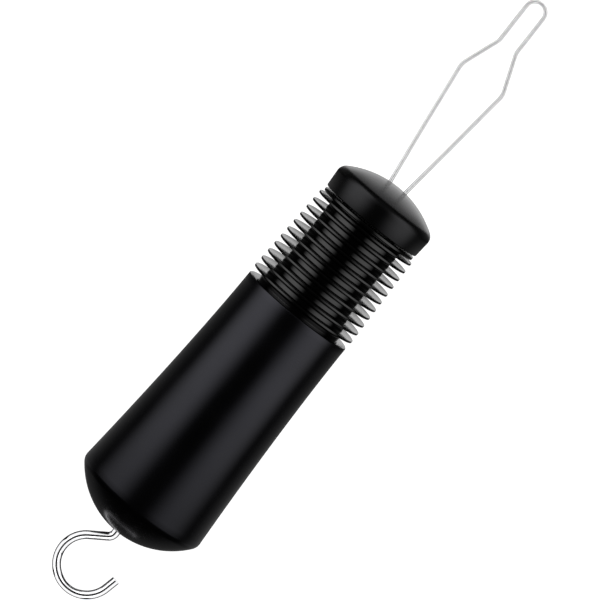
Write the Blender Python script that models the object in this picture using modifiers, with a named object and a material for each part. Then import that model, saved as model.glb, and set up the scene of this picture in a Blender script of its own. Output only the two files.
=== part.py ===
"""Button hook with zip pull, a dressing aid, lying on a table.

Every piece is made in the handle's own frame: its axis is local Z, z = 0 is the tip of the barrel's domed end, and
+Z points to the button loop. Both wires lie in the local XZ plane. One empty then lays the handle down along world X,
so that the barrel's shoulder and the cap's shoulder both touch z = 0. Units are metres.
"""
import math

import bmesh
import bpy
from mathutils import Matrix, Vector

# Fits and faceting
GAP = 0.0003                    # room between two pieces that touch
SIDES = 32                      # flat facets round every turned piece
MERGE = 0.00001                 # far below the smallest feature

# Barrel, the flared grip
BARREL_LENGTH = 0.0765          # from the dome's tip to the mouth
SHOULDER_RADIUS = 0.0193        # the widest place, beside the dome
FLARE_POWER = 1.6               # above 1, the flare opens late, towards the dome
TAIL_DOME_RADIUS = 0.0234
SHOULDER_ROUND = 0.0028
DOME_WALL = 0.0028
BARREL_BORE = 0.0135
MOUTH_WALL = 0.00275            # the barrel's wall at its mouth
LIP_DROP = 0.0006               # the mouth's face falls inwards by this much
LIP_ROUND = 0.0005

# Core spindle, the rigid tube inside
SPINDLE_WALL = 0.0022
SHOULDER_STEP = 0.0025          # the spindle's face under the sleeve
NECK_RADIUS = 0.0087
NECK_BORE = 0.0055
TAIL_RECESS = 0.0025            # the sleeve's tail sits this deep in the barrel's mouth

# Ribbed sleeve
SLEEVE_LENGTH = 0.032
FIN_COUNT = 11
FIN_PITCH = 0.002567
FIRST_FIN = 0.0042              # from the sleeve's tail to the first fin
FIN_DEPTH_TAIL = 0.0054         # beyond the waist, at the barrel's end
FIN_DEPTH_HEAD = 0.00445        # the same at the cap's end
FIN_TIP = 0.0009                # thickness behind the edge
FIN_EDGE = 0.00025              # the edge is rounded off by this much
FIN_ROOT = 0.0015               # thickness at the core
WAIST_WALL = 0.0020             # the sleeve's wall where it is waisted
WAIST_DEPTH = 0.0003            # the core is this much thicker at its ends
FOOT_FLARE = 0.0022             # and swells by this much more down to the barrel's mouth
FOOT_REACH = 0.0125             # over this length
COLLAR_HEIGHT = 0.0009
COLLAR_SETBACK = 0.0002         # the collar lies this far inside the cap's edge
TAIL_COLLAR_HEIGHT = 0.0026

# End cap
CAP_HEIGHT = 0.01155            # from the skirt's edge to the dome's tip
CAP_DRAFT = 0.00035             # the skirt widens by this much towards the dome
CAP_DOME_RADIUS = 0.026
CAP_ROUND = 0.0028
CAP_WALL = 0.0022
CAP_BOSS_WALL = 0.0022
CAP_CHANNEL = 0.0038            # depth of the channel between skirt and boss
CAP_CHANNEL_WIDTH = 0.00155
CAP_ROOF = 0.0051               # from the boss's ceiling to the dome's tip

# Plugs and ferrules
PLUG_FLANGE = 0.0018
LOOP_SPIGOT = 0.016
TAIL_FLANGE_EDGE = 0.0022       # thickness of the tail plug's rim
TAIL_SPIGOT = 0.0165
TAIL_BORE_DEPTH = 0.0225
FERRULE_WALL = 0.00075
FERRULE_LENGTH = 0.006
FERRULE_SIDES = 16

# Button loop
LOOP_WIRE = 0.000525            # wire radius
FERRULE_ROOM = 0.00065          # between the two ferrules
LEG_END_MARGIN = 0.001          # the legs' ends reach this far past the ferrules
BEND_ABOVE_PLUG = 0.0007        # the legs start to spread here
LOOP_SHOULDER_HALF = 0.00678    # half width at the widest place
LOOP_SHOULDER_RISE = 0.0404     # from the legs' bend to the widest place
LOOP_NECK_HALF = 0.00278
LOOP_NECK_RISE = 0.01075         # from the widest place to the neck
LOOP_NECK_LENGTH = 0.0114       # straight part of the neck
LEG_BOW = 0.00012               # the legs bulge outwards by this much
LEG_BEND = 1.0                  # radius of that bulge
LOOP_SHOULDER_BEND = 0.0035
LOOP_NECK_BEND = 0.0020
LOOP_LEAN = math.radians(1.25)  # the whole loop leans towards +X

# Zip hook
HOOK_WIRE = 0.0012              # wire radius
SHANK_IN_PLUG = 0.0215
HOOK_CORNER_DROP = 0.0022       # the corner's vertex lies this far below the dome's tip
HOOK_CORNER_BEND = 0.0022
HOOK_SLOPE = math.radians(35.3)     # how far the wire falls after the corner
HOOK_STRAIGHT = 0.00641         # from the corner's vertex to the ring
HOOK_RING_RADIUS = 0.00815
HOOK_RING_SWEEP = math.radians(223)
HOOK_END = 0.0035               # straight run after the ring, up to the cut end

# Radii that several pieces share
MOUTH_RADIUS = BARREL_BORE + MOUTH_WALL
SLEEVE_BORE = NECK_RADIUS + GAP
WAIST_RADIUS = SLEEVE_BORE + WAIST_WALL
CAP_EDGE_RADIUS = SLEEVE_BORE + CAP_BOSS_WALL + CAP_CHANNEL_WIDTH + CAP_WALL
CAP_RADIUS = CAP_EDGE_RADIUS + CAP_DRAFT
FERRULE_RADIUS = LOOP_WIRE + GAP + FERRULE_WALL
LEG_SPREAD = FERRULE_RADIUS + FERRULE_ROOM / 2      # half the distance between the legs in the plug

# Stations along the axis that several pieces share
PLUG_FACE = DOME_WALL + GAP     # tip of the tail plug's domed face
SLEEVE_TAIL = BARREL_LENGTH - TAIL_RECESS + GAP
SPINDLE_SHOULDER = SLEEVE_TAIL - GAP
SLEEVE_HEAD = SLEEVE_TAIL + SLEEVE_LENGTH
CAP_EDGE = SLEEVE_HEAD + GAP
CAP_TIP = CAP_EDGE + CAP_HEIGHT
CAP_CEILING = CAP_TIP - CAP_ROOF
LOOP_PLUG_TOP = CAP_CEILING - GAP
NECK_TOP = LOOP_PLUG_TOP - PLUG_FLANGE - GAP
LOOP_PLUG_BOTTOM = NECK_TOP - LOOP_SPIGOT
FERRULE_TOP = LOOP_PLUG_BOTTOM - 3 * GAP
LEG_END = FERRULE_TOP - FERRULE_LENGTH - LEG_END_MARGIN


def new_collection(name):
    collection = bpy.data.collections.new(name)
    bpy.context.scene.collection.children.link(collection)
    return collection


def principled(name, color, roughness, metallic=0.0):
    material = bpy.data.materials.new(name)
    material.use_nodes = True
    shader = material.node_tree.nodes["Principled BSDF"]
    shader.inputs["Base Color"].default_value = (*color, 1.0)
    shader.inputs["Roughness"].default_value = roughness
    shader.inputs["Metallic"].default_value = metallic
    return material


def add_object(name, data, collection, material=None):
    piece = bpy.data.objects.new(name, data)
    collection.objects.link(piece)
    if material:
        data.materials.append(material)
    return piece


def arc(center_r, center_z, radius, start, end, steps):
    """Points (r, z) of an arc; angles in radians, 0 along +r and a quarter turn along +z."""
    angles = [start + (end - start) * step / steps for step in range(steps + 1)]
    return [(center_r + radius * math.cos(angle), center_z + radius * math.sin(angle)) for angle in angles]


def turned(name, profile, collection, material=None, closed=True, sides=SIDES):
    """Turns a profile of (r, z) points about Z; it runs down the outer side.

    The flats, not the corners between them, lie at the profile's radii.
    """
    widen = 1 / math.cos(math.pi / sides)
    mesh = bpy.data.meshes.new(name)
    edges = [(index, index + 1) for index in range(len(profile) - 1)]
    if closed:
        edges.append((len(profile) - 1, 0))
    mesh.from_pydata([(r * widen, 0.0, z) for r, z in profile], edges, [])
    piece = add_object(name, mesh, collection, material)
    screw = piece.modifiers.new("Turn", "SCREW")
    screw.steps = screw.render_steps = sides
    screw.use_merge_vertices = True
    screw.merge_threshold = MERGE
    screw.use_smooth_shade = True
    piece.rotation_euler.z = math.pi / sides      # a facet, not an edge, faces the table
    return piece


def rounded_path(corners, bends, steps=3):
    """Points along straight runs whose inner corners are rounded with the bends' radii."""
    points = [corners[0]]
    for before, corner, after, bend in zip(corners, corners[1:], corners[2:], bends):
        into, out = (before - corner).normalized(), (after - corner).normalized()
        half = into.angle(out) / 2
        reach = bend / math.tan(half)
        center = corner + (into + out).normalized() * bend / math.sin(half)
        first, last = corner + into * reach - center, corner + out * reach - center
        turns = [first.slerp(last, step / steps).normalized() for step in range(steps + 1)]
        points += [center + turn * bend for turn in turns]
    points.append(corners[-1])
    return points


def wire(name, points, radius, collection, material=None, resolution=2):
    curve = bpy.data.curves.new(name, "CURVE")
    curve.dimensions = "3D"
    curve.bevel_depth = radius
    curve.bevel_resolution = resolution
    curve.use_fill_caps = True
    spline = curve.splines.new("POLY")
    spline.points.add(len(points) - 1)
    for spot, point in zip(spline.points, points):
        spot.co = (*point, 1.0)
    return add_object(name, curve, collection, material)


def curve_to_mesh(piece, collection):
    """A welded mesh in place of a curve object, so that it can cut."""
    evaluated = piece.evaluated_get(bpy.context.evaluated_depsgraph_get())
    mesh = bpy.data.meshes.new_from_object(evaluated)
    welded = bmesh.new()
    welded.from_mesh(mesh)
    bmesh.ops.remove_doubles(welded, verts=welded.verts, dist=MERGE)
    welded.to_mesh(mesh)
    welded.free()
    name, place = piece.name, piece.matrix_world.copy()
    bpy.data.objects.remove(piece)
    solid = add_object(name, mesh, collection)
    solid.matrix_world = place
    return solid


def cut(piece, cutter):
    cutter.hide_render = True
    cutter.display_type = "WIRE"
    boolean = piece.modifiers.new("Cut", "BOOLEAN")
    boolean.operation = "DIFFERENCE"
    boolean.object = cutter
    boolean.solver = "EXACT"


def tail_dome(radius, inset):
    """Height of the tail dome, set in by a wall, at a radius."""
    return TAIL_DOME_RADIUS - math.sqrt((TAIL_DOME_RADIUS - inset) ** 2 - radius ** 2)


def tail_dome_arc(outer, inner, inset, steps):
    """The tail dome from a larger to a smaller radius."""
    sphere = TAIL_DOME_RADIUS - inset
    start, end = -math.acos(outer / sphere), -math.acos(inner / sphere)
    return arc(0.0, TAIL_DOME_RADIUS, sphere, start, end, steps)


def barrel_shoulder():
    """Centre (r, z) of the rounding between the tail dome and the barrel's side."""
    round_r = SHOULDER_RADIUS - SHOULDER_ROUND
    return round_r, tail_dome(round_r, SHOULDER_ROUND)


def cap_shoulder():
    """Centre (r, z) of the rounding between the cap's dome and its skirt."""
    round_r = CAP_RADIUS - CAP_ROUND
    return round_r, CAP_TIP - CAP_DOME_RADIUS + math.sqrt((CAP_DOME_RADIUS - CAP_ROUND) ** 2 - round_r ** 2)


def make_barrel(collection, material):
    round_r, round_z = barrel_shoulder()
    meets_dome = -math.acos(round_r / (TAIL_DOME_RADIUS - SHOULDER_ROUND))
    hook_hole = HOOK_WIRE + GAP

    def side(share):
        flare = (SHOULDER_RADIUS - MOUTH_RADIUS) * share ** FLARE_POWER
        return MOUTH_RADIUS + flare, BARREL_LENGTH - LIP_ROUND - share * (BARREL_LENGTH - LIP_ROUND - round_z)

    steps = 7
    profile = [(BARREL_BORE, BARREL_LENGTH - LIP_DROP), (MOUTH_RADIUS - LIP_ROUND, BARREL_LENGTH)]
    profile += [side(step / steps) for step in range(steps)]
    profile += arc(round_r, round_z, SHOULDER_ROUND, 0.0, meets_dome, 3)
    outer_edge = TAIL_DOME_RADIUS * math.cos(meets_dome)
    profile += tail_dome_arc(outer_edge, hook_hole, 0.0, 5)[1:]
    profile += reversed(tail_dome_arc(BARREL_BORE, hook_hole, DOME_WALL, 3))
    return turned("barrel", profile, collection, material)


def make_spindle(collection, material):
    outer = BARREL_BORE - GAP
    inner = outer - SPINDLE_WALL
    foot = tail_dome(outer, DOME_WALL + GAP) + TAIL_FLANGE_EDGE + GAP
    profile = [
        (NECK_BORE, NECK_TOP), (NECK_RADIUS, NECK_TOP), (NECK_RADIUS, SPINDLE_SHOULDER),
        (outer, SPINDLE_SHOULDER), (outer, foot), (inner, foot),
        (inner, SPINDLE_SHOULDER - SHOULDER_STEP), (NECK_BORE, SPINDLE_SHOULDER - SHOULDER_STEP),
    ]
    return turned("core_spindle", profile, collection, material)


def make_tail_plug(collection, material):
    rim = BARREL_BORE - GAP
    spigot = rim - SPINDLE_WALL - GAP
    hole = HOOK_WIRE + GAP
    flange_top = tail_dome(rim, PLUG_FACE) + TAIL_FLANGE_EDGE
    face_tip = tail_dome(hole, PLUG_FACE)
    profile = [(0.0, flange_top + TAIL_SPIGOT), (spigot, flange_top + TAIL_SPIGOT), (spigot, flange_top)]
    profile += [(rim, flange_top)]
    profile += tail_dome_arc(rim, hole, PLUG_FACE, 3)
    profile += [(hole, face_tip + TAIL_BORE_DEPTH), (0.0, face_tip + TAIL_BORE_DEPTH)]
    return turned("tail_plug", profile, collection, material, closed=False)


def make_sleeve(collection, material):
    middle = SLEEVE_TAIL + FIRST_FIN + FIN_PITCH * (FIN_COUNT - 1) / 2
    reach = FIN_PITCH * (FIN_COUNT - 1) / 2

    def core(z):
        foot = max(0.0, 1 - (z - SLEEVE_TAIL - TAIL_COLLAR_HEIGHT) / FOOT_REACH)
        return WAIST_RADIUS + WAIST_DEPTH * ((z - middle) / reach) ** 2 + FOOT_FLARE * foot ** 2

    collar_foot = SLEEVE_HEAD - COLLAR_HEIGHT
    collar = CAP_EDGE_RADIUS - COLLAR_SETBACK
    profile = [(SLEEVE_BORE, SLEEVE_HEAD), (collar, SLEEVE_HEAD), (collar, collar_foot)]
    profile += [(WAIST_RADIUS + WAIST_DEPTH, collar_foot)]
    for fin in reversed(range(FIN_COUNT)):
        z = SLEEVE_TAIL + FIRST_FIN + fin * FIN_PITCH
        depth = FIN_DEPTH_TAIL + (FIN_DEPTH_HEAD - FIN_DEPTH_TAIL) * fin / (FIN_COUNT - 1)
        edge = WAIST_RADIUS + depth
        inside, flat = edge - FIN_EDGE, FIN_TIP / 2 - FIN_EDGE
        profile += [(core(z), z + FIN_ROOT / 2), (inside, z + FIN_TIP / 2), (edge, z + flat)]
        profile += [(edge, z - flat), (inside, z - FIN_TIP / 2), (core(z), z - FIN_ROOT / 2)]
    tail = BARREL_BORE - GAP
    profile += [(tail, SLEEVE_TAIL + TAIL_COLLAR_HEIGHT), (tail, SLEEVE_TAIL), (SLEEVE_BORE, SLEEVE_TAIL)]
    return turned("rib_sleeve", profile, collection, material)


def make_cap(collection, material, wire_cutter):
    dome_center = CAP_TIP - CAP_DOME_RADIUS
    round_r, round_z = cap_shoulder()
    meets_dome = math.acos(round_r / (CAP_DOME_RADIUS - CAP_ROUND))
    channel_in, channel_out = SLEEVE_BORE + CAP_BOSS_WALL, CAP_EDGE_RADIUS - CAP_WALL
    profile = arc(0.0, dome_center, CAP_DOME_RADIUS, math.pi / 2, meets_dome, 5)
    profile += arc(round_r, round_z, CAP_ROUND, meets_dome, 0.0, 3)[1:]
    profile += [
        (CAP_EDGE_RADIUS, CAP_EDGE), (channel_out, CAP_EDGE), (channel_out, CAP_EDGE + CAP_CHANNEL),
        (channel_in, CAP_EDGE + CAP_CHANNEL), (channel_in, CAP_EDGE), (SLEEVE_BORE, CAP_EDGE),
        (SLEEVE_BORE, CAP_CEILING), (0.0, CAP_CEILING),
    ]
    profile[0] = (0.0, CAP_TIP)
    cap = turned("end_cap", profile, collection, material, closed=False)
    cut(cap, wire_cutter)
    return cap


def make_loop_plug(collection, material, wire_cutter):
    spigot = NECK_BORE - GAP
    flange_foot = LOOP_PLUG_TOP - PLUG_FLANGE
    profile = [
        (0.0, LOOP_PLUG_TOP), (NECK_RADIUS, LOOP_PLUG_TOP), (NECK_RADIUS, flange_foot),
        (spigot, flange_foot), (spigot, LOOP_PLUG_BOTTOM), (0.0, LOOP_PLUG_BOTTOM),
    ]
    plug = turned("loop_plug", profile, collection, material, closed=False)
    cut(plug, wire_cutter)
    return plug


def make_ferrule(name, x, collection, material):
    inner = LOOP_WIRE + GAP
    foot = FERRULE_TOP - FERRULE_LENGTH
    profile = [(inner, FERRULE_TOP), (FERRULE_RADIUS, FERRULE_TOP), (FERRULE_RADIUS, foot), (inner, foot)]
    ferrule = turned(name, profile, collection, material, sides=FERRULE_SIDES)
    ferrule.location.x = x
    return ferrule


def loop_points():
    """Centreline of the button loop, from one leg's end round to the other."""
    bend = LOOP_PLUG_TOP + BEND_ABOVE_PLUG
    shoulder = bend + LOOP_SHOULDER_RISE
    neck = shoulder + LOOP_NECK_RISE
    crown = neck + LOOP_NECK_LENGTH
    middle = Vector(((LEG_SPREAD + LOOP_SHOULDER_HALF) / 2 + LEG_BOW, 0.0, (bend + shoulder) / 2))
    corners = [
        Vector((LEG_SPREAD, 0.0, bend)), middle, Vector((LOOP_SHOULDER_HALF, 0.0, shoulder)),
        Vector((LOOP_NECK_HALF, 0.0, neck)), Vector((LOOP_NECK_HALF, 0.0, crown)),
    ]
    right = rounded_path(corners, [LEG_BEND, LOOP_SHOULDER_BEND, LOOP_NECK_BEND])
    turn = [Vector((r, 0.0, z)) for r, z in arc(0.0, crown, LOOP_NECK_HALF, 0.0, math.pi, 10)]
    outside = right[:-1] + turn + [Vector((-point.x, 0.0, point.z)) for point in reversed(right[:-1])]
    lean = Matrix.Translation((0.0, 0.0, bend)) @ Matrix.Rotation(LOOP_LEAN, 4, "Y")
    lean = lean @ Matrix.Translation((0.0, 0.0, -bend))
    legs = [Vector((LEG_SPREAD, 0.0, LEG_END)), Vector((-LEG_SPREAD, 0.0, LEG_END))]
    return [legs[0], *(lean @ point for point in outside), legs[1]]


def hook_points():
    """Centreline of the zip hook, from the shank's end to the ring's cut end."""
    shank_end = tail_dome(HOOK_WIRE + GAP, PLUG_FACE) + SHANK_IN_PLUG
    corner = Vector((0.0, 0.0, -HOOK_CORNER_DROP))
    fall = Vector((math.cos(HOOK_SLOPE), 0.0, -math.sin(HOOK_SLOPE)))
    joins = corner + fall * HOOK_STRAIGHT
    center = joins + Vector((fall.z, 0.0, -fall.x)) * HOOK_RING_RADIUS
    start = (joins - center).normalized()
    steps = 22
    ring = []
    for step in range(steps + 1):
        turn = Matrix.Rotation(HOOK_RING_SWEEP * step / steps, 3, "Y")
        ring.append(center + turn @ start * HOOK_RING_RADIUS)
    leave = Matrix.Rotation(HOOK_RING_SWEEP, 3, "Y") @ fall
    ring.append(ring[-1] + leave * HOOK_END)
    return rounded_path([Vector((0.0, 0.0, shank_end)), corner, joins], [HOOK_CORNER_BEND])[:-1] + ring


def world_box(pieces):
    """The low and high corners of the pieces' common box in world space."""
    bpy.context.view_layer.update()
    graph = bpy.context.evaluated_depsgraph_get()
    spots = []
    for piece in pieces:
        evaluated = piece.evaluated_get(graph)
        mesh = evaluated.to_mesh()
        spots += [evaluated.matrix_world @ vertex.co for vertex in mesh.vertices]
        evaluated.to_mesh_clear()
    low = Vector(min(spot[axis] for spot in spots) for axis in range(3))
    high = Vector(max(spot[axis] for spot in spots) for axis in range(3))
    return low, high


def main():
    for old in list(bpy.data.objects):
        bpy.data.objects.remove(old)
    parts = new_collection("button_hook")
    cutters = new_collection("cutters")

    soft_black = principled("soft_touch_rubber", (0.012, 0.012, 0.013), 0.45)
    gloss_black = principled("gloss_elastomer", (0.010, 0.010, 0.011), 0.22)
    satin_black = principled("satin_plastic", (0.012, 0.012, 0.013), 0.38)
    core_black = principled("core_plastic", (0.03, 0.03, 0.03), 0.5)
    steel = principled("stainless_wire", (0.62, 0.62, 0.63), 0.22, 1.0)
    crimp = principled("ferrule_metal", (0.70, 0.66, 0.58), 0.35, 1.0)

    loop = loop_points()
    slack = wire("loop_cutter", loop, LOOP_WIRE + GAP, cutters, resolution=4)
    slack = curve_to_mesh(slack, cutters)

    pieces = [
        make_barrel(parts, soft_black),
        make_spindle(parts, core_black),
        make_tail_plug(parts, core_black),
        make_sleeve(parts, gloss_black),
        make_cap(parts, satin_black, slack),
        make_loop_plug(parts, core_black, slack),
        make_ferrule("loop_ferrule_left", LEG_SPREAD, parts, crimp),
        make_ferrule("loop_ferrule_right", -LEG_SPREAD, parts, crimp),
        wire("button_loop", loop, LOOP_WIRE, parts, steel),
        wire("zip_hook", hook_points(), HOOK_WIRE, parts, steel, resolution=3),
    ]

    # Local Z goes to world X, local X to world Y; then the cap's end drops until both shoulders touch.
    rest_tilt = math.atan2(SHOULDER_RADIUS - CAP_RADIUS, cap_shoulder()[1] - barrel_shoulder()[1])
    handle = add_object("handle_axis", None, parts)
    lay_down = Matrix(((0, 0, 1), (1, 0, 0), (0, 1, 0))).to_4x4()
    handle.matrix_world = Matrix.Rotation(rest_tilt, 4, "Y") @ lay_down
    for piece in [*pieces, slack]:
        piece.parent = handle
    low, high = world_box(pieces)
    middle = (low + high) / 2
    handle.location = (-middle.x, -middle.y, -low.z)
    bpy.context.view_layer.update()


main()
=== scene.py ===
# Button hook with zip pull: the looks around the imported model.
import math

import bpy
from mathutils import Matrix, Vector


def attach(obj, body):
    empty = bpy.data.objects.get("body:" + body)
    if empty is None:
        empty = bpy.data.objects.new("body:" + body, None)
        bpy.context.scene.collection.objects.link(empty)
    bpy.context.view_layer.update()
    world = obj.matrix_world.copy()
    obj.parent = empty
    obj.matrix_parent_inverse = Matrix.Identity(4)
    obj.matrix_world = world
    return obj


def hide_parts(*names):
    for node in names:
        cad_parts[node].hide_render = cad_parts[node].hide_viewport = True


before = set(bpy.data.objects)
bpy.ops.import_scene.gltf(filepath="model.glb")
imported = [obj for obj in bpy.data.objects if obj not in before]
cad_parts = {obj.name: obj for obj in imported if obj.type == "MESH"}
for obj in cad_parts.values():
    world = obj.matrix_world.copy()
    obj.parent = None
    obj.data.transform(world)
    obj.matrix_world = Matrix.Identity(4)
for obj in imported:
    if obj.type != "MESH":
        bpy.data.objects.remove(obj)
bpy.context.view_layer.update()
print("packed model loaded:", len(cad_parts), "nodes")

# Every piece is made upright round the Z axis, with z = 0 at the tip of the barrel's dome and the loop at
# the top, and is then laid down where the CAD has it. An outline is a list of (radius, height) points.
bench = dict(
    mergeBelow=0.000002,  # points closer than this become one
    smoothBelow=35,       # edges that turn less than this look smooth
    bendStep=5,           # degrees from one ring of a wire's bend to the next
    startSize=0.001,      # the little square that an outline starts from
)


# An arc's points. Angles are in degrees: 0 points away from the axis and 90 towards the loop.
def arcPoints(centre, radius, fromAngle, toAngle, steps):
    points = []
    for step in range(steps + 1):
        angle = math.radians(fromAngle + (toAngle - fromAngle) * step / steps)
        points.append((centre[0] + radius * math.cos(angle), centre[1] + radius * math.sin(angle)))
    return points


# Rounds off the (radius, height, rounding) corners of an outline. A rounding of 0 keeps a corner sharp.
def roundedCorners(corners, steps):
    points = []
    for index, (r, h, rounding) in enumerate(corners):
        if not rounding:
            points.append((r, h))
            continue
        here = Vector((r, h))
        before = (Vector(corners[index - 1][:2]) - here).normalized()
        after = (Vector(corners[(index + 1) % len(corners)][:2]) - here).normalized()
        half = before.angle(after) / 2
        centre = here + (before + after).normalized() * rounding / math.sin(half)
        first = here + before * rounding / math.tan(half) - centre
        last = here + after * rounding / math.tan(half) - centre
        for step in range(steps + 1):
            spoke = first.slerp(last, step / steps).normalized() * rounding
            points.append(tuple(centre + spoke))
    return points


def startEditing():
    bpy.ops.object.mode_set(mode="EDIT")
    bpy.ops.mesh.select_all(action="SELECT")


# Draws an outline by extruding one point from corner to corner, then spins it round the axis.
def turnOnLathe(name, outline, sides, closed):
    bpy.ops.object.select_all(action="DESELECT")
    bpy.ops.mesh.primitive_plane_add(size=bench["startSize"], location=(outline[0][0], 0, outline[0][1]))
    piece = bpy.context.object
    piece.name = piece.data.name = name
    startEditing()
    bpy.ops.mesh.merge(type="CENTER")
    stops = outline[1:] + (outline[:1] if closed else [])
    for (r0, h0), (r1, h1) in zip(outline, stops):
        bpy.ops.mesh.extrude_region_move(TRANSFORM_OT_translate={"value": (r1 - r0, 0, h1 - h0)})
    bpy.ops.mesh.select_all(action="SELECT")
    bpy.ops.mesh.spin(steps=sides, angle=math.tau, center=(0, 0, 0), axis=(0, 0, 1), use_auto_merge=True)
    bpy.ops.mesh.select_all(action="SELECT")
    bpy.ops.mesh.remove_doubles(threshold=bench["mergeBelow"])
    bpy.ops.mesh.normals_make_consistent(inside=False)
    bpy.ops.object.mode_set(mode="OBJECT")
    return piece


# Bends a round wire in the XZ plane, run by run and bend by bend, as on a bending jig. heading is in
# degrees from +Z towards +X. A move is (length,) for a run, or (bend radius, degrees towards +X).
def bendWire(name, start, heading, moves, radius, sides):
    bpy.ops.object.select_all(action="DESELECT")
    bpy.ops.mesh.primitive_circle_add(
        vertices=sides, radius=radius, fill_type="NGON",
        location=(start[0], 0, start[1]), rotation=(0, math.radians(heading), 0))
    wire = bpy.context.object
    wire.name = wire.data.name = name
    startEditing()
    spot = Vector((start[0], 0, start[1]))
    way = math.radians(heading)
    travelled = 0.0
    marks = [travelled]  # how far along the wire each ring of points is
    for move in moves:
        if len(move) == 1:
            run = Vector((math.sin(way), 0, math.cos(way))) * move[0]
            bpy.ops.mesh.extrude_region_move(TRANSFORM_OT_translate={"value": run})
            spot = spot + run
            travelled += move[0]
            marks.append(travelled)
            continue
        bendRadius = move[0]
        angle = math.radians(move[1])
        side = Vector((math.cos(way), 0, -math.sin(way))) * math.copysign(1, angle)
        centre = spot + side * bendRadius
        steps = max(3, math.ceil(abs(move[1]) / bench["bendStep"]))
        bpy.ops.mesh.spin(steps=steps, angle=-angle, center=centre, axis=(0, 1, 0))
        spot = centre + Matrix.Rotation(angle, 3, "Y") @ (spot - centre)
        way += angle
        marks += [travelled + bendRadius * abs(angle) * step / steps for step in range(1, steps + 1)]
        travelled = marks[-1]
    bpy.ops.object.mode_set(mode="OBJECT")
    # each point's place on the straight wire, for the lines that drawing leaves
    place = wire.data.attributes.new("wirePlace", "FLOAT_VECTOR", "POINT")
    for index in range(len(wire.data.vertices)):
        around = math.tau * (index % sides) / sides
        along = marks[index // sides]
        place.data[index].vector = (radius * math.cos(around), radius * math.sin(around), along)
    startEditing()
    bpy.ops.mesh.normals_make_consistent(inside=False)
    bpy.ops.object.mode_set(mode="OBJECT")
    return wire


# The runs and bends that follow (x, z) corners, where each inner corner is rounded with its radius.
def cornersToMoves(corners, radii):
    legs = [b - a for a, b in zip(corners, corners[1:])]
    headings = [math.atan2(leg.x, leg.y) for leg in legs]
    turns = [(b - a + math.pi) % math.tau - math.pi for a, b in zip(headings, headings[1:])]
    cuts = [0.0] + [radius * math.tan(abs(turn) / 2) for radius, turn in zip(radii, turns)] + [0.0]
    moves = []
    for index, leg in enumerate(legs):
        length = leg.length - cuts[index] - cuts[index + 1]
        if length > 0.00001:  # two bends may follow each other with no run between them
            moves.append((length,))
        if index < len(turns):
            moves.append((radii[index], math.degrees(turns[index])))
    return moves


# Lays a piece down where the CAD has it, gives it its finish, and lets it stand for its CAD node.
def finish(piece, node, material):
    bpy.ops.object.select_all(action="DESELECT")
    piece.select_set(True)
    bpy.context.view_layer.objects.active = piece
    bpy.ops.object.transform_apply(location=True, rotation=True, scale=True)
    bpy.ops.object.shade_smooth_by_angle(angle=math.radians(bench["smoothBelow"]))
    piece.matrix_world = handlePlace
    bpy.ops.object.transform_apply(location=True, rotation=True, scale=True)
    piece.data.materials.clear()
    piece.data.materials.append(material)
    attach(piece, "root")
    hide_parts(node)
    print(piece.name, "made,", len(piece.data.polygons), "faces")


# Colours are written as sRGB hex values, and the shader takes them as linear ones.
def paint(code):
    shares = [int(code[place:place + 2], 16) / 255 for place in (1, 3, 5)]
    linear = [share / 12.92 if share <= 0.04045 else ((share + 0.055) / 1.055) ** 2.4 for share in shares]
    return (*linear, 1.0)


# A socket is given a number or a colour, the output that feeds it, or a node whose first output does.
# A ramp's stops are (place, level) pairs, and it passes through them smoothly.
def addNode(tree, kind, sockets, stops=(), **settings):
    node = tree.nodes.new(kind)
    for name, value in settings.items():
        setattr(node, name, value)
    for socket, value in sockets.items():
        if isinstance(value, bpy.types.Node):
            value = value.outputs[0]
        if isinstance(value, bpy.types.NodeSocket):
            tree.links.new(value, node.inputs[socket])
        else:
            node.inputs[socket].default_value = value
    if stops:
        node.color_ramp.interpolation = "EASE"
    for place, level in stops[1:-1]:
        node.color_ramp.elements.new(place)
    for index, (place, level) in enumerate(stops):
        node.color_ramp.elements[index].position = place
        node.color_ramp.elements[index].color = (level, level, level, 1)
    return node


# Values that are the same all over a piece go straight onto the shader's own sockets.
def newMaterial(name, fixed):
    material = bpy.data.materials.new(name)
    material.use_nodes = True
    shader = material.node_tree.nodes["Principled BSDF"]
    for socket, value in fixed.items():
        shader.inputs[socket].default_value = value
    return material, material.node_tree, shader


# The last three links of every material: its colour, its roughness and its fine relief.
def linkShader(tree, shader, colour, roughness, relief):
    tree.links.new(colour.outputs["Result"], shader.inputs["Base Color"])
    tree.links.new(roughness.outputs["Result"], shader.inputs["Roughness"])
    tree.links.new(relief.outputs["Normal"], shader.inputs["Normal"])


# Elastomer from a spark-eroded mould: a fine, even grain softens the edges of each highlight. Hands leave
# it a little duller and a little glossier in patches the size of a fingertip. The real grain is under
# 0.1 mm across; it is drawn at 0.25 mm or more, as coarse as it needs to be to show.
def mouldedRubber(name, dark, light, roughness, swing, grain, depth, specular, tint, patch=0.0166667):
    material, tree, shader = newMaterial(name, {
        "IOR": 1.50, "Specular IOR Level": specular, "Specular Tint": paint(tint)})
    place = addNode(tree, "ShaderNodeTexCoord", {}).outputs["Object"]
    patches = addNode(tree, "ShaderNodeTexNoise", {"Vector": place, "Scale": 1 / patch, "Detail": 3.0})
    grains = addNode(tree, "ShaderNodeTexNoise", {"Vector": place, "Scale": 1 / grain, "Detail": 2.0})
    colour = addNode(tree, "ShaderNodeMix", {
        "Factor": patches.outputs["Fac"], "A": paint(dark), "B": paint(light)}, data_type="RGBA")
    dullness = addNode(tree, "ShaderNodeMapRange", {
        "Value": patches.outputs["Fac"], "From Min": 0.3, "From Max": 0.7,
        "To Min": roughness - swing, "To Max": roughness + swing})
    relief = addNode(tree, "ShaderNodeBump", {
        "Height": grains.outputs["Fac"], "Strength": depth, "Distance": 0.00002})
    linkShader(tree, shader, colour, dullness, relief)
    return material


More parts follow.
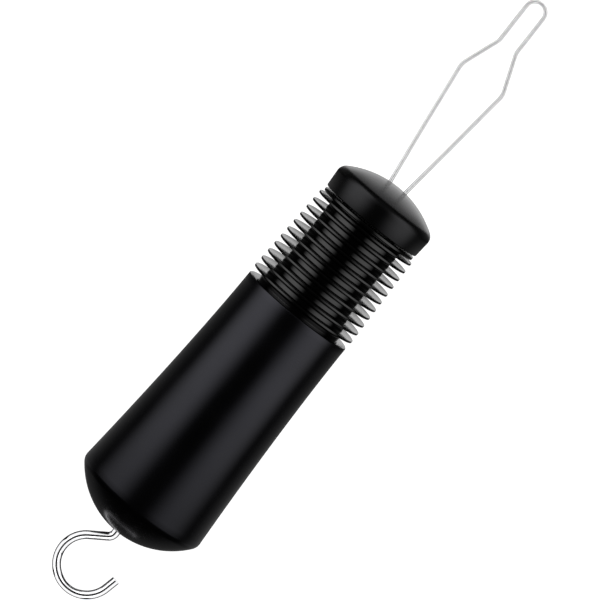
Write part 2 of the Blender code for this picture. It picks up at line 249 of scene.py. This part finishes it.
# Stainless wire drawn through a die: fine bright lines run along it and stretch its highlights lengthways.
# Real die lines are about 0.01 mm wide; these are 0.25 mm, as coarse as they need to be to show.
def drawnSteel(name, light, dark, roughness, line=0.00025, stretch=50, cloud=0.0033333):
    material, tree, shader = newMaterial(name, {"Metallic": 1.0})
    place = addNode(tree, "ShaderNodeAttribute", {}, attribute_name="wirePlace").outputs["Vector"]
    drawn = addNode(tree, "ShaderNodeMapping", {"Vector": place, "Scale": (1, 1, 1 / stretch)})
    lines = addNode(tree, "ShaderNodeTexNoise", {"Vector": drawn, "Scale": 1 / line, "Detail": 3.0})
    clouds = addNode(tree, "ShaderNodeTexNoise", {"Vector": place, "Scale": 1 / cloud, "Detail": 2.0})
    colour = addNode(tree, "ShaderNodeMix", {
        "Factor": lines.outputs["Fac"], "A": paint(dark), "B": paint(light)}, data_type="RGBA")
    dullness = addNode(tree, "ShaderNodeMapRange", {
        "Value": clouds.outputs["Fac"], "From Min": 0.3, "From Max": 0.7,
        "To Min": roughness * 0.8, "To Max": roughness * 1.25})
    relief = addNode(tree, "ShaderNodeBump", {
        "Height": lines.outputs["Fac"], "Strength": 0.15, "Distance": 0.00001})
    linkShader(tree, shader, colour, dullness, relief)
    return material


# Aluminium tube turned on a lathe: the tool's feed leaves rings 0.1 mm apart, which glint in turn.
def turnedAluminium(name, light, dark, roughness, feed=0.0001):
    material, tree, shader = newMaterial(name, {"Metallic": 1.0})
    place = addNode(tree, "ShaderNodeTexCoord", {}).outputs["Object"]
    waveScale = math.tau / (20 * feed)  # a wave texture has 20 / (2 pi) bands per unit at scale 1
    rings = addNode(tree, "ShaderNodeTexWave", {"Vector": place, "Scale": waveScale, "Distortion": 0.4},
                    wave_type="BANDS", bands_direction="X")
    colour = addNode(tree, "ShaderNodeMix", {
        "Factor": rings.outputs["Fac"], "A": paint(dark), "B": paint(light)}, data_type="RGBA")
    dullness = addNode(tree, "ShaderNodeMapRange", {
        "Value": rings.outputs["Fac"], "To Min": roughness * 0.85, "To Max": roughness * 1.2})
    relief = addNode(tree, "ShaderNodeBump", {
        "Height": rings.outputs["Fac"], "Strength": 0.3, "Distance": 0.00001})
    linkShader(tree, shader, colour, dullness, relief)
    return material


# Soft-touch barrel: deep black with wide, soft highlights that lean to blue.
gripRubber = mouldedRubber(
    "mouldedSoftTouchElastomer", dark="#010101", light="#020202", roughness=0.25, swing=0.03,
    grain=0.00025, depth=0.05, specular=0.45, tint="#F0F0FF")
# Satin cap: the same rubber from another mould, a little greyer where it faces the light.
capRubber = mouldedRubber(
    "mouldedSatinElastomer", dark="#020202", light="#030303", roughness=0.28, swing=0.03,
    grain=0.00025, depth=0.05, specular=0.33, tint="#FAFAFF")
# Gloss sleeve: from a polished mould, so its grain is nearly flat and its fins carry sharp highlights.
sleeveRubber = mouldedRubber(
    "mouldedGlossElastomer", dark="#020202", light="#040404", roughness=0.14, swing=0.02,
    grain=0.0006, depth=0.01, specular=0.5, tint="#FFFFFF")
# Glass-filled nylon inside the handle, moulded: dull dark grey, speckled by its fibres.
corePlastic = mouldedRubber(
    "mouldedGlassFilledNylon", dark="#0C0C0D", light="#18181A", roughness=0.55, swing=0.06,
    grain=0.0004, depth=0.2, specular=0.5, tint="#FFFFFF")
# Ferrules cut from bar and left plain, then crimped: pale grey metal with a dull glint.
ferruleAluminium = turnedAluminium("turnedAluminium", light="#C4C5C7", dark="#A9AAAC", roughness=0.34)
# The thin loop's wire is a fine satin grey, and the thick hook's wire is brighter and nearly a mirror.
loopSteel = drawnSteel("drawnStainlessFine", light="#D6D6D6", dark="#BDBDBE", roughness=0.22)
hookSteel = drawnSteel("drawnStainlessBright", light="#DEDEDF", dark="#CBCBCD", roughness=0.12)
print("materials ready")


barrel = dict(
    length=0.0765, shoulderRadius=0.019298, mouthRadius=0.01625, bore=0.0135,
    flarePower=1.6,        # 1 would be a plain cone; more keeps the mouth slim for longer
    domeRadius=0.0234, domeWall=0.0028, shoulderRound=0.0028,
    lipDrop=0.0006, lipRound=0.0005, hookHole=0.00128, holeRound=0.00025,
    lipSteps=6, flareSteps=40, shoulderSteps=14, domeSteps=30, holeSteps=4, floorSteps=8, sides=192,
)


# A turned CAD node is even all round, so the mean of its corners is on the handle's axis.
def middleOf(node):
    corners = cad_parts[node].data.vertices
    spots = {tuple(round(part, 7) for part in corner.co) for corner in corners}
    return sum((Vector(spot) for spot in spots), Vector()) / len(spots)


barrelMiddle = middleOf("barrel")
alongHandle = (middleOf("rib_sleeve") - barrelMiddle).normalized()
acrossHandle = Vector((0, 1, 0))
aboveHandle = alongHandle.cross(acrossHandle)
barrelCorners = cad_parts["barrel"].data.vertices
mouthReach = max((corner.co - barrelMiddle).dot(alongHandle) for corner in barrelCorners)
handlePlace = Matrix((acrossHandle, aboveHandle, alongHandle)).transposed().to_4x4()
handlePlace.translation = barrelMiddle + alongHandle * (mouthReach - barrel["length"])


def makeBarrel():
    size = barrel
    dome = size["domeRadius"]
    roundR = size["shoulderRadius"] - size["shoulderRound"]
    inner = dome - size["shoulderRound"]
    roundH = dome - math.sqrt(inner ** 2 - roundR ** 2)
    meet = -math.degrees(math.acos(roundR / inner))  # where the shoulder's round runs into the dome
    sideTop = size["length"] - size["lipRound"]
    flare = size["shoulderRadius"] - size["mouthRadius"]
    outline = [(size["bore"], size["length"] - size["lipDrop"])]
    lipCentre = (size["mouthRadius"] - size["lipRound"], sideTop)
    outline += arcPoints(lipCentre, size["lipRound"], 90, 0, size["lipSteps"])
    for step in range(1, size["flareSteps"]):
        share = step / size["flareSteps"]
        flared = size["mouthRadius"] + flare * share ** size["flarePower"]
        outline.append((flared, sideTop - share * (sideTop - roundH)))
    outline += arcPoints((roundR, roundH), size["shoulderRound"], 0, meet, size["shoulderSteps"])
    holeEdge = size["hookHole"] + size["holeRound"]
    domeEnd = -math.degrees(math.acos(holeEdge / dome))
    outline += arcPoints((0, dome), dome, meet, domeEnd, size["domeSteps"])[1:]
    holeCentre = (holeEdge, size["holeRound"])
    outline += arcPoints(holeCentre, size["holeRound"], -90, -180, size["holeSteps"])[1:]
    floor = dome - size["domeWall"]
    floorStart = -math.degrees(math.acos(size["hookHole"] / floor))
    floorEnd = -math.degrees(math.acos(size["bore"] / floor))
    outline += arcPoints((0, dome), floor, floorStart, floorEnd, size["floorSteps"])
    return turnOnLathe("barrelShell", outline, size["sides"], closed=True)


finish(makeBarrel(), "barrel", gripRubber)


sleeve = dict(
    tail=0.0743, length=0.032, bore=0.009, finCount=11, finPitch=0.002567, firstFin=0.0046,
    waistRadius=0.011, waistDepth=0.0003,      # the grooves' floors are slimmest in the middle
    footFlare=0.0022, footReach=0.0125,        # and swell towards the barrel's mouth
    finDepthTail=0.0054, finDepthHead=0.00445,
    tipAbove=0.0002, tipBelow=0.00044, rootAbove=0.00015, rootBelow=0.0007,
    roundAbove=0.00015, roundBelow=0.00012, rootRound=0.00022, floorRound=0.0006, floorRise=0.0002,
    collarRadius=0.01475, collarHeight=0.0009, collarRound=0.0002, collarFootRound=0.0003,
    topFloorDrop=0.0001, topFloorRound=0.0002,
    tailRadius=0.0132, tailHeight=0.0026, tailRound=0.0003, cornerSteps=6, sides=160,
)


def makeSleeve():
    size = sleeve
    head = size["tail"] + size["length"]
    halfSpan = size["finPitch"] * (size["finCount"] - 1) / 2
    middle = size["tail"] + size["firstFin"] + halfSpan
    collarFoot = head - size["collarHeight"]
    firstGroove = size["tail"] + size["firstFin"] - size["finPitch"] / 2
    floors = []  # each groove's floor is level, at the radius that the waist has in its middle
    for groove in range(size["finCount"] + 1):
        h = firstGroove + groove * size["finPitch"]
        foot = max(0.0, 1 - (h - size["tail"] - size["tailHeight"]) / size["footReach"])
        waist = size["waistDepth"] * ((h - middle) / halfSpan) ** 2
        floors.append(size["waistRadius"] + waist + size["footFlare"] * foot ** 2)
    corners = [
        (size["bore"], head, 0),
        (size["collarRadius"], head, size["collarRound"]),
        (size["collarRadius"], collarFoot, size["collarFootRound"]),
        (floors[-1], collarFoot - size["topFloorDrop"], size["topFloorRound"]),
    ]
    for fin in reversed(range(size["finCount"])):
        h = size["tail"] + size["firstFin"] + fin * size["finPitch"]
        shorter = (size["finDepthHead"] - size["finDepthTail"]) * fin / (size["finCount"] - 1)
        edge = size["waistRadius"] + (size["finDepthTail"] + shorter)
        corners += [
            (floors[fin + 1] + size["floorRise"], h + size["rootAbove"], size["rootRound"]),
            (edge, h + size["tipAbove"], size["roundAbove"]),
            (edge, h - size["tipBelow"], size["roundBelow"]),
            (floors[fin], h - size["rootBelow"], size["floorRound"]),
        ]
    corners += [
        (size["tailRadius"], size["tail"] + size["tailHeight"], size["tailRound"]),
        (size["tailRadius"], size["tail"], 0),
        (size["bore"], size["tail"], 0),
    ]
    outline = roundedCorners(corners, size["cornerSteps"])
    return turnOnLathe("finnedSleeve", outline, size["sides"], closed=True)


finish(makeSleeve(), "rib_sleeve", sleeveRubber)


loop = dict(
    radius=0.000525, legEnd=0.08675, legSpread=0.0019, bend=0.11345,
    shoulderHalf=0.00678, shoulderRise=0.0404, neckHalf=0.00278, neckRise=0.01075, neckLength=0.0114,
    bow=0.00012, lean=1.25,  # the long sides bow out a little, and the whole loop leans
    bendRadius=0.002, bowRadius=1.0, shoulderBend=0.0035, neckBend=0.002, sides=24,
)


def loopMoves():
    size = loop
    shoulder = size["bend"] + size["shoulderRise"]
    neck = shoulder + size["neckRise"]
    top = neck + size["neckLength"] + size["neckHalf"]
    bowHalf = (size["legSpread"] + size["shoulderHalf"]) / 2 + size["bow"]
    half = [
        (bowHalf, (size["bend"] + shoulder) / 2), (size["shoulderHalf"], shoulder),
        (size["neckHalf"], neck), (size["neckHalf"], top),
    ]
    bendAt = Vector((0, size["bend"]))
    leaning = []
    for x, z in half + [(-x, z) for x, z in reversed(half)]:
        corner = Vector((x, z)) - bendAt
        corner.rotate(Matrix.Rotation(-math.radians(size["lean"]), 2))
        leaning.append(corner + bendAt)
    spread = size["legSpread"]
    corners = [Vector((spread, size["legEnd"])), Vector((spread, size["bend"]))] + leaning
    corners += [Vector((-spread, size["bend"])), Vector((-spread, size["legEnd"]))]
    bends = ("bendRadius", "bowRadius", "shoulderBend", "neckBend", "neckHalf")
    radii = [size[bend] for bend in bends]
    return cornersToMoves(corners, radii + radii[::-1])


def makeLoop(name, radius):
    return bendWire(name, (loop["legSpread"], loop["legEnd"]), 0, loopMoves(), radius, loop["sides"])


finish(makeLoop("loopWire", loop["radius"]), "button_loop", loopSteel)


cap = dict(
    edge=0.1069, tip=0.11815, edgeRadius=0.01495, radius=0.0153, domeRadius=0.026, round=0.0028,
    wall=0.0022, boss=0.009, bossWall=0.0022, channel=0.0038, ceiling=0.11305,
    edgeRound=0.0003, lipRound=0.0002, channelRound=0.0003,
    holeRoom=0.00008,      # the wire's holes are this much wider than the wire
    domeSteps=28, shoulderSteps=14, cornerSteps=4, sides=160,
)


def makeCap():
    size = cap
    domeCentre = size["tip"] - size["domeRadius"]
    inner = size["domeRadius"] - size["round"]
    roundR = size["radius"] - size["round"]
    roundH = domeCentre + math.sqrt(inner ** 2 - roundR ** 2)
    meet = math.degrees(math.acos(roundR / inner))  # where the dome runs into the shoulder's round
    outline = arcPoints((0, domeCentre), size["domeRadius"], 90, meet, size["domeSteps"])
    outline += arcPoints((roundR, roundH), size["round"], meet, 0, size["shoulderSteps"])[1:]
    channelIn = size["boss"] + size["bossWall"]
    channelOut = size["edgeRadius"] - size["wall"]
    channelTop = size["edge"] + size["channel"]
    under = [
        (size["radius"], roundH, 0), (size["edgeRadius"], size["edge"], size["edgeRound"]),
        (channelOut, size["edge"], size["lipRound"]), (channelOut, channelTop, size["channelRound"]),
        (channelIn, channelTop, size["channelRound"]), (channelIn, size["edge"], size["lipRound"]),
        (size["boss"], size["edge"], size["lipRound"]), (size["boss"], size["ceiling"], 0),
        (0, size["ceiling"], 0),
    ]
    outline += roundedCorners(under, size["cornerSteps"])[1:]
    dome = turnOnLathe("domedCap", outline, size["sides"], closed=False)
    drill = makeLoop("holeDrill", loop["radius"] + size["holeRoom"])
    cut = dome.modifiers.new("wireHoles", "BOOLEAN")
    cut.operation = "DIFFERENCE"
    cut.object = drill
    cut.solver = "EXACT"
    bpy.ops.object.select_all(action="DESELECT")
    bpy.context.view_layer.objects.active = dome
    bpy.ops.object.modifier_apply(modifier=cut.name)
    bpy.data.objects.remove(drill)
    return dome


finish(makeCap(), "end_cap", capRubber)


hook = dict(
    radius=0.0012, shankTop=0.02465, cornerDrop=0.0022, cornerBend=0.0022, cornerTurn=54.7,
    straight=0.00641, ringRadius=0.00814, ringTurn=223, endRun=0.0035, sides=32,
)


def makeHook():
    size = hook
    cut = size["cornerBend"] * math.tan(math.radians(size["cornerTurn"]) / 2)
    moves = [
        (size["shankTop"] + size["cornerDrop"] - cut,),
        (size["cornerBend"], -size["cornerTurn"]),
        (size["straight"] - cut,),
        (size["ringRadius"], size["ringTurn"]),
        (size["endRun"],),
    ]
    return bendWire("hookWire", (0, size["shankTop"]), 180, moves, size["radius"], size["sides"])


finish(makeHook(), "zip_hook", hookSteel)


# The pieces inside the handle keep their CAD shape.
insideFinishes = {
    "core_spindle": corePlastic,
    "tail_plug": corePlastic,
    "loop_plug": corePlastic,
    "loop_ferrule_left": ferruleAluminium,
    "loop_ferrule_right": ferruleAluminium,
}
for node, material in insideFinishes.items():
    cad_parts[node].data.materials.clear()
    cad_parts[node].data.materials.append(material)
print("inside pieces finished:", len(insideFinishes))


# A place is a share of the light's length or width, or a part of the direction, and a level is 0 to 1.
# Angles are in degrees from straight above the handle, and distances in metres.
studio = dict(
    boxFrom=12, boxTo=100, boxDistance=0.3, boxLength=0.50, boxMiddle=0.19, leftGlow=1.7, rightGlow=1.42,
    boxAlong=[(0.0, 0.0), (0.27, 1.0), (1.0, 1.0)],                   # fades out towards the hook
    boxAcross=[(0.04, 0.0), (0.43, 1.0), (0.54, 1.0), (0.95, 0.0)],   # brightest along its middle
    tentFrom=24, tentTo=97, tentDistance=2.0, tentMiddle=0.07, tentTurn=60, tentGlow=1.5,
    floorSize=8.0, floorColour="#C8C8C8", floorRoughness=0.9, floorGlow=1.0, surroundings="#FFFFFF",
    roomGlow=0.008,
    alongShift=0.5,  # brings the part of the direction that runs along the handle above 0
)

# What the handle mirrors besides the boxes. The pale surface below it is brightest under the loop's end,
# the faint one round it towards the hook's end, and the card stands beyond the loop.
roomPatches = [
    dict(glow=1.4, fades=dict(
        down=[(0.25, 0.0), (0.5, 0.5), (0.72, 1.0)],
        aside=[(0.2, 1.0), (0.3, 0.4), (0.44, 0.05)],
        along=[(0.46, 0.0), (0.5, 0.2), (0.57, 0.55), (0.7, 1.0)],
    )),
    dict(glow=0.18, fades=dict(
        down=[(0.15, 0.0), (0.35, 0.5), (0.55, 1.0)],
        aside=[(0.0, 0.7), (0.15, 0.85), (0.3, 1.0)],
        along=[(0.0, 0.4), (0.15, 1.0), (0.33, 1.0), (0.38, 0.4), (0.42, 0.0)],
    )),
    dict(glow=0.09, fades=dict(
        towardsLoop=[(0.3, 0.0), (0.5, 0.6), (0.7, 1.0)],
        up=[(0.05, 0.0), (0.15, 0.8), (0.3, 1.0)],
    )),
]


# The floor glows plain white, takes no shadow and isn't mirrored in the handle.
def makeFloor():
    bpy.ops.object.select_all(action="DESELECT")
    bpy.ops.mesh.primitive_plane_add(size=studio["floorSize"], location=(0, 0, 0))
    floor = bpy.context.object
    floor.name = "floor"
    material, tree, shader = newMaterial("paintedFloor", {
        "Base Color": paint(studio["floorColour"]), "Roughness": studio["floorRoughness"],
        "Emission Color": paint(studio["surroundings"]), "Emission Strength": studio["floorGlow"]})
    floor.data.materials.append(material)
    floor.visible_glossy = False
    floor.visible_shadow = False


# A light group that takes in the two bare wires only, or all but them.
def wireGroup(name, state):
    group = bpy.data.collections.new(name)
    for wire in ("loopWire", "hookWire"):
        group.objects.link(bpy.data.objects[wire])
    for member in group.collection_objects:
        member.light_linking.link_state = state
    return group


# A rectangular light. glow is the brightness of its face, whatever its size.
def addPanel(name, length, width, glow, receivers):
    data = bpy.data.lights.new(name, "AREA")
    data.shape = "RECTANGLE"
    data.size = length
    data.size_y = width
    data.energy = glow * math.pi * data.size * data.size_y
    panel = bpy.data.objects.new(name, data)
    bpy.context.scene.collection.objects.link(panel)
    panel.visible_camera = False
    panel.light_linking.receiver_collection = receivers
    return panel


# A long softbox on each side of the handle, for all but the wires; side is 1 or -1.
def makeSoftbox(name, side, glow, receivers):
    middle = math.radians((studio["boxFrom"] + studio["boxTo"]) / 2)
    spread = math.radians(studio["boxTo"] - studio["boxFrom"]) / 2
    boxWidth = 2 * studio["boxDistance"] * math.tan(spread)
    box = addPanel(name, studio["boxLength"], boxWidth, glow, receivers)
    box.data.use_nodes = True
    tree = box.data.node_tree
    face = addNode(tree, "ShaderNodeNewGeometry", {}).outputs["Parametric"]
    share = addNode(tree, "ShaderNodeSeparateXYZ", {"Vector": face})
    along = addNode(tree, "ShaderNodeValToRGB", {"Fac": share.outputs["X"]}, stops=studio["boxAlong"])
    across = addNode(tree, "ShaderNodeValToRGB", {"Fac": share.outputs["Y"]}, stops=studio["boxAcross"])
    level = addNode(tree, "ShaderNodeMath", {0: along, 1: across}, operation="MULTIPLY")
    tree.links.new(level.outputs[0], tree.nodes["Emission"].inputs["Strength"])
    away = Vector((0, side * math.sin(middle), math.cos(middle)))
    beside = handlePlace.translation + alongHandle * studio["boxMiddle"]
    box.location = beside + away * studio["boxDistance"]
    box.rotation_euler = (-side * middle, 0, 0)


# A ring of panels for the bare wires only: they shine all round while the rubber keeps its dark ends.
def makeWireTent(receivers):
    middle = math.radians((studio["tentFrom"] + studio["tentTo"]) / 2)
    spread = math.radians(studio["tentTo"] - studio["tentFrom"]) / 2
    halfTurn = math.radians(studio["tentTurn"]) / 2
    length = 2 * studio["tentDistance"] * math.tan(halfTurn) * math.sin(middle)
    width = 2 * studio["tentDistance"] * math.tan(spread)
    centre = handlePlace @ Vector((0, 0, studio["tentMiddle"]))
    for azimuth in range(0, 360, studio["tentTurn"]):
        panel = addPanel(f"wirePanel{azimuth}", length, width, studio["tentGlow"], receivers)
        turn = math.radians(azimuth)
        outwards = Vector((math.cos(turn), math.sin(turn), 0)) * math.sin(middle)
        away = outwards + Vector((0, 0, math.cos(middle)))
        panel.location = centre + away * studio["tentDistance"]
        panel.rotation_euler = away.to_track_quat("Z", "Y").to_euler()


# A dark room with the pale patches in it. The camera itself sees plain white.
def makeRoom():
    room = bpy.data.worlds.new("studio")
    room.use_nodes = True
    bpy.context.scene.world = room
    tree = room.node_tree
    facing = addNode(tree, "ShaderNodeTexCoord", {}).outputs["Generated"]
    way = addNode(tree, "ShaderNodeSeparateXYZ", {"Vector": facing})
    shift = studio["alongShift"]
    directions = dict(
        towardsLoop=way.outputs["X"],
        up=way.outputs["Z"],
        down=addNode(tree, "ShaderNodeMath", {0: way.outputs["Z"], 1: -1.0}, operation="MULTIPLY"),
        aside=addNode(tree, "ShaderNodeMath", {0: way.outputs["Y"]}, operation="ABSOLUTE"),
        along=addNode(tree, "ShaderNodeMath", {0: way.outputs["X"], 1: shift}, operation="ADD"),
    )
    glow = studio["roomGlow"]
    for patch in roomPatches:
        level = patch["glow"]
        for direction, stops in patch["fades"].items():
            fade = addNode(tree, "ShaderNodeValToRGB", {"Fac": directions[direction]}, stops=stops)
            level = addNode(tree, "ShaderNodeMath", {0: fade, 1: level}, operation="MULTIPLY")
        glow = addNode(tree, "ShaderNodeMath", {0: glow, 1: level}, operation="ADD")
    seen = addNode(tree, "ShaderNodeLightPath", {}).outputs["Is Camera Ray"]
    shown = addNode(tree, "ShaderNodeMix", {
        "Factor": seen, "A": glow, "B": paint(studio["surroundings"])}, data_type="RGBA")
    tree.links.new(shown.outputs["Result"], tree.nodes["Background"].inputs["Color"])


makeFloor()
notWires = wireGroup("notWires", "EXCLUDE")
onlyWires = wireGroup("onlyWires", "INCLUDE")
makeSoftbox("leftSoftbox", 1, studio["leftGlow"], notWires)
makeSoftbox("rightSoftbox", -1, studio["rightGlow"], notWires)
makeWireTent(onlyWires)
makeRoom()
print("studio set,", len(bpy.data.lights), "lights")


# The camera looks down on the handle from a little towards the loop, rolled so that the loop points up.
view = dict(
    towardsLoop=6.0, distance=0.806, aim=0.07869, aside=0.00124, roll=50.7, fieldOfView=11.216,
    nearest=0.01, farthest=20,
)


def makeCamera():
    lift = math.radians(90 - view["towardsLoop"])
    back = alongHandle * math.cos(lift) + aboveHandle * math.sin(lift)
    uphill = (alongHandle - back * alongHandle.dot(back)).normalized()
    leftward = back.cross(uphill)
    roll = math.radians(view["roll"])
    right = uphill * math.cos(roll) - leftward * math.sin(roll)
    up = uphill * math.sin(roll) + leftward * math.cos(roll)
    data = bpy.data.cameras.new("camera")
    data.angle = math.radians(view["fieldOfView"])
    data.clip_start = view["nearest"]
    data.clip_end = view["farthest"]
    camera = bpy.data.objects.new("camera", data)
    bpy.context.scene.collection.objects.link(camera)
    target = handlePlace @ Vector((view["aside"], 0, view["aim"]))
    turn = Matrix((right, up, back)).transposed().to_4x4()
    camera.matrix_world = Matrix.Translation(target + back * view["distance"]) @ turn
    bpy.context.scene.camera = camera


makeCamera()
bpy.context.scene.view_settings.view_transform = "Standard"
print("camera set")
